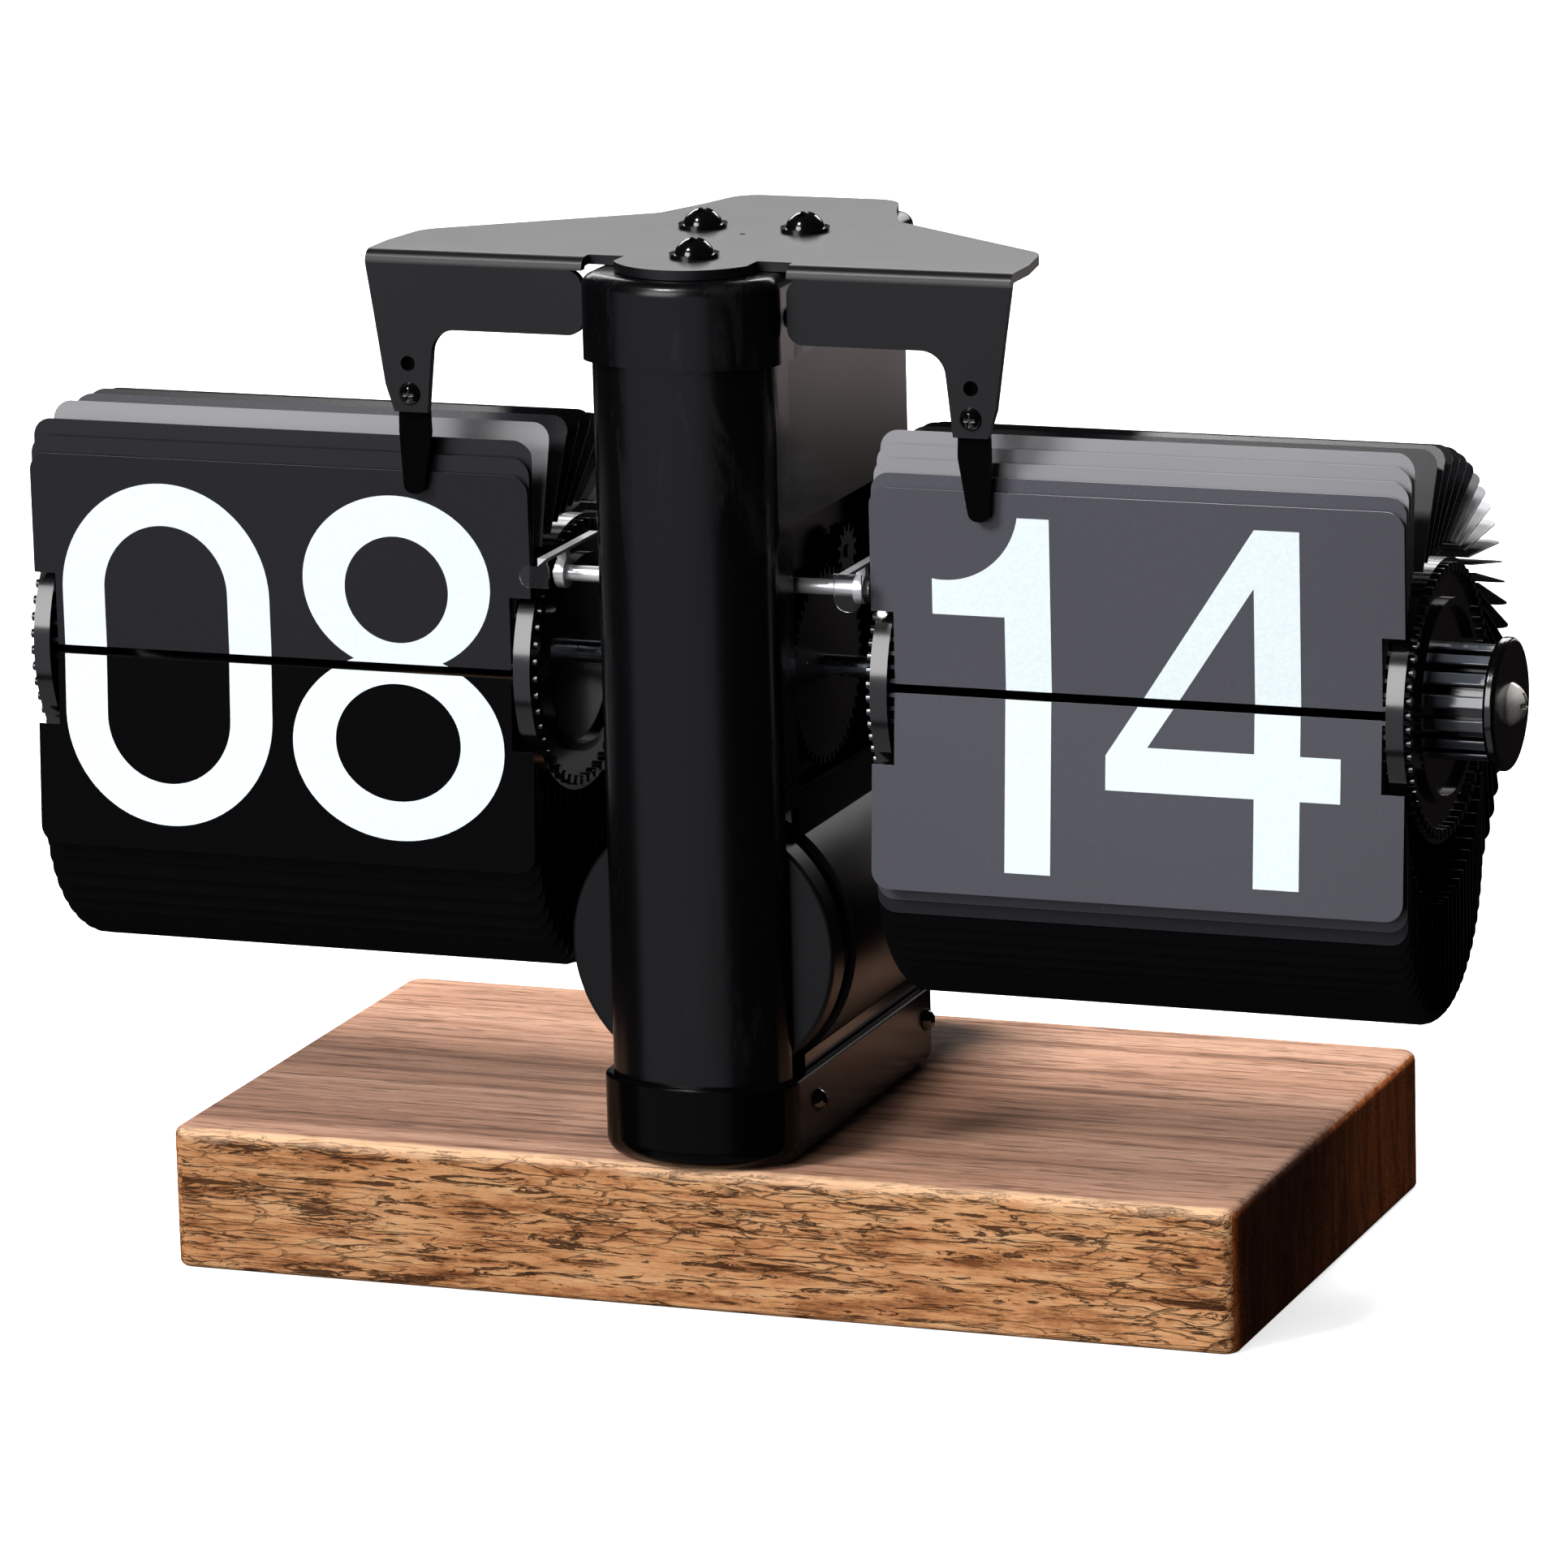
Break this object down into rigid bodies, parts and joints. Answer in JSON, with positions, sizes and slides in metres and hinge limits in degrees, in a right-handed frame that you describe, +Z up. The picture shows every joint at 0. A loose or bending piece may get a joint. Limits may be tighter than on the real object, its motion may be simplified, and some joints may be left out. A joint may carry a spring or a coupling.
{
  "type": "flip number clock",
  "caption": "Desk flip clock: two drums of split number flaps either side of a black column on a walnut base, with a setting knob and rear battery tube.",
  "frame": {"origin": "centre of the wooden base's underside, which is where it rests on a table", "axes": "+X to the viewer's right along the drums, +Y to the rear, +Z up"},
  "size_m": [0.1921, 0.0804, 0.1338],
  "materials": {
    "walnut": "oiled open-grain walnut",
    "pad_rubber": "soft matte pad",
    "bolt_steel": "plain zinc plate",
    "column_black": "gloss black enamel",
    "bracket_black": "satin black powder coat",
    "screw_black": "black oxide, polished domes",
    "card_black": "satin black sheet",
    "numeral_white": "screen-printed cool white",
    "disc_black": "glossy moulded black",
    "train_black": "moulded black",
    "shaft_steel": "polished steel tube",
    "bright_chrome": "bright chrome",
    "works_black": "moulded black",
    "bush_brass": "turned brass",
    "clear_plastic": "clear water-white leaf",
    "holder_black": "fine matte black",
    "contact_steel": "nickel plated spring",
    "cell_jacket": "plain printed sleeve"
  },
  "bodies": {
    "clock_body": {"wood_base": "walnut", "base_pads": "pad_rubber", "base_bolts": "bolt_steel", "bottom_cap": "column_black", "front_tube": "column_black", "rear_shell": "column_black", "top_cap": "column_black", "column_screws": "screw_black", "top_bracket": "bracket_black", "top_bracket_screws": "screw_black", "minute_finger": "bracket_black", "hour_finger": "bracket_black", "finger_screws": "screw_black", "minute_upper_flaps": "card_black", "minute_rear_flaps": "card_black", "minute_hanging_flaps": "card_black", "minute_upper_card": "card_black", "minute_numerals_upper": "numeral_white", "hour_upper_flaps": "card_black", "hour_rear_flaps": "card_black", "hour_hanging_flaps": "card_black", "hour_upper_card": "card_black", "hour_numerals_upper": "numeral_white", "right_works_plate": "works_black", "left_works_plate": "works_black", "bearing_bushes": "bush_brass", "works_pillars": "works_black", "movement_case": "works_black", "cross_rod": "bright_chrome", "battery_tube": "holder_black", "battery_front_disc": "holder_black", "front_contact": "contact_steel"},
    "minute_drum": {"minute_inner_disc": "disc_black", "minute_outer_disc": "disc_black", "minute_pins": "disc_black", "minute_drum_tube": "disc_black", "setting_knob": "disc_black", "knob_screw": "bright_chrome", "minute_shaft": "shaft_steel", "minute_drive_gear": "train_black", "minute_step_pinion": "train_black"},
    "hour_drum": {"hour_inner_disc": "disc_black", "hour_outer_disc": "disc_black", "hour_pins": "disc_black", "hour_drum_tube": "disc_black", "hour_shaft": "shaft_steel", "hour_drive_gear": "train_black"},
    "reduction_set": {"reduction_wheel": "train_black", "reduction_pinion": "train_black", "reduction_arbor": "shaft_steel"},
    "motor_rotor": {"motor_pinion": "train_black"},
    "minute_falling_flap": {"minute_lower_card": "card_black", "minute_numerals_lower": "numeral_white"},
    "hour_falling_flap": {"hour_lower_card": "card_black", "hour_numerals_lower": "numeral_white"},
    "minute_leaf_catch": {"minute_catch": "clear_plastic"},
    "hour_leaf_catch": {"hour_catch": "clear_plastic"},
    "battery_door": {"battery_cap": "holder_black", "cap_spring": "contact_steel"},
    "battery": {"battery_cell": "cell_jacket"}
  },
  "joints": [
    {"name": "minute_spin", "type": "hinge", "parent": "clock_body", "child": "minute_drum", "pos_m": [0, -0.0143, 0.0776], "axis": [1, 0, 0], "continuous": true},
    {"name": "hour_spin", "type": "hinge", "parent": "clock_body", "child": "hour_drum", "pos_m": [0, -0.0143, 0.0776], "axis": [1, 0, 0], "continuous": true},
    {"name": "reduction_spin", "type": "hinge", "parent": "clock_body", "child": "reduction_set", "pos_m": [0, -0.00218, 0.0776], "axis": [1, 0, 0], "continuous": true},
    {"name": "motor_spin", "type": "hinge", "parent": "clock_body", "child": "motor_rotor", "pos_m": [0, -0.00674, 0.09069], "axis": [1, 0, 0], "continuous": true},
    {"name": "minute_flap_fall", "type": "hinge", "parent": "clock_body", "child": "minute_falling_flap", "pos_m": [0.0565, -0.03074, 0.07823], "axis": [-1, 0, 0], "range_deg": [0, 160]},
    {"name": "hour_flap_fall", "type": "hinge", "parent": "clock_body", "child": "hour_falling_flap", "pos_m": [-0.0565, -0.03074, 0.07691], "axis": [-1, 0, 0], "range_deg": [0, 160]},
    {"name": "minute_catch_flex", "type": "hinge", "parent": "clock_body", "child": "minute_leaf_catch", "pos_m": [0.0198, -0.026, 0.0903], "axis": [1, 0, 0], "range_deg": [-6, 6], "stiffness_Nm_per_rad": 0.002},
    {"name": "hour_catch_flex", "type": "hinge", "parent": "clock_body", "child": "hour_leaf_catch", "pos_m": [-0.0198, -0.026, 0.0903], "axis": [1, 0, 0], "range_deg": [-6, 6], "stiffness_Nm_per_rad": 0.002},
    {"name": "battery_cap_slide", "type": "slide", "parent": "clock_body", "child": "battery_door", "axis": [0, 1, 0], "range_m": [0, 0.07]},
    {"name": "battery_slide", "type": "slide", "parent": "clock_body", "child": "battery", "axis": [0, 1, 0], "range_m": [0, 0.07]}
  ],
  "couplings": [
    {"joint": "hour_spin", "follows": "minute_spin", "ratio": 0.041667},
    {"joint": "reduction_spin", "follows": "minute_spin", "ratio": -0.25},
    {"joint": "motor_spin", "follows": "minute_spin", "ratio": -4},
    {"joint": "battery_slide", "follows": "battery_cap_slide", "ratio": 1}
  ]
}
